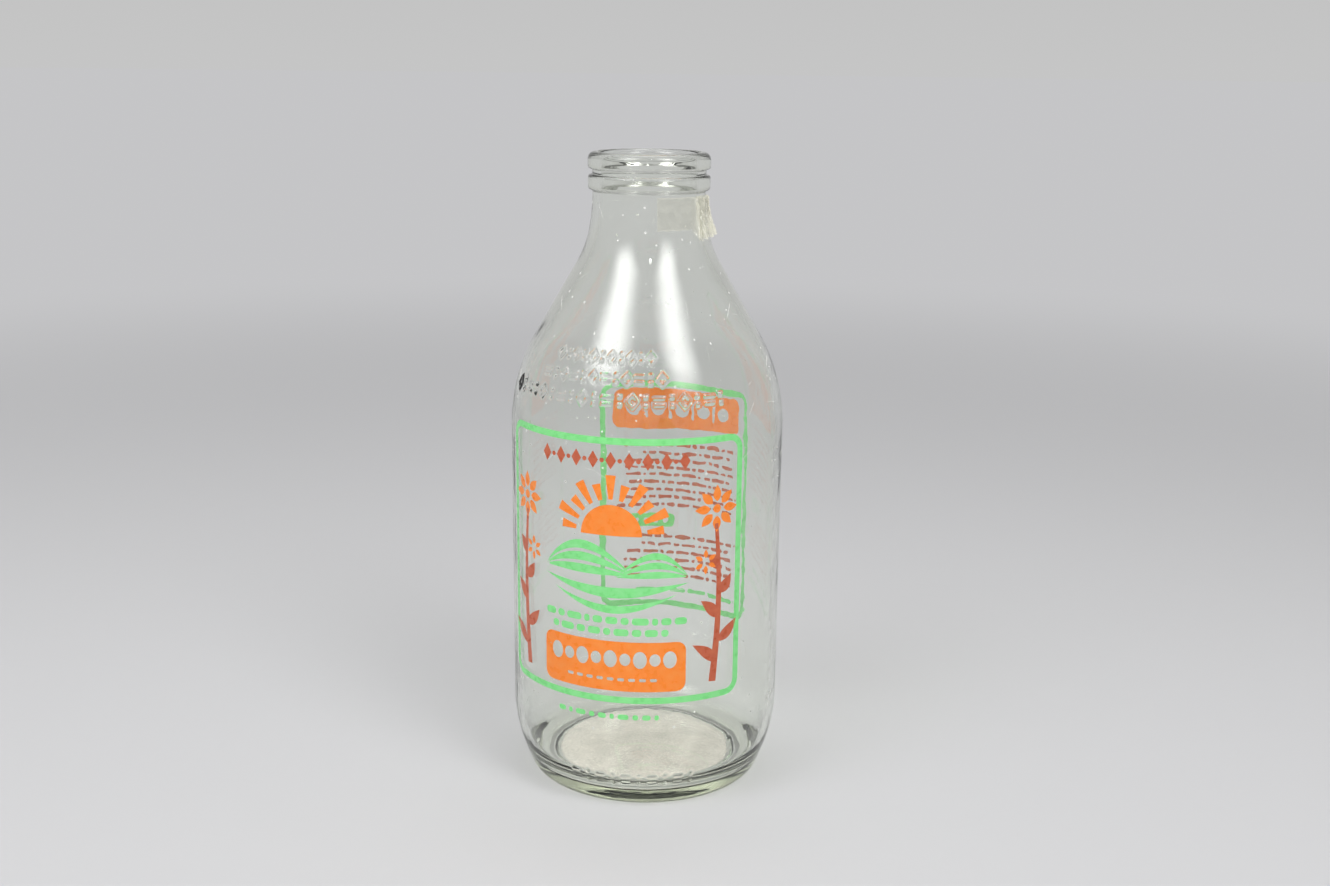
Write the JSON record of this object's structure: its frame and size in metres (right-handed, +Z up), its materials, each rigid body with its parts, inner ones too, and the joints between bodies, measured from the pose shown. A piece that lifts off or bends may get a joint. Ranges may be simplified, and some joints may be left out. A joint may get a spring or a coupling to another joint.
{
  "type": "milk bottle",
  "caption": "Empty clear glass milk bottle: round body, sloping shoulder, narrow neck with lip and ring for a foil cap, hollow base, and a strip of clear tape on the neck.",
  "frame": {"origin": "on the table under the middle of the base", "axes": "+Z up along the bottle's axis; the main printed panel faces -Y"},
  "size_m": [0.078, 0.078, 0.1808],
  "materials": {
    "glass": "clear, glossy, faint green tint in thick glass, fine scuffs",
    "tape": "clear film, slightly yellowed, creased"
  },
  "bodies": {
    "root": {"bottle": "glass", "neck_tape": "tape"}
  },
  "joints": []
}
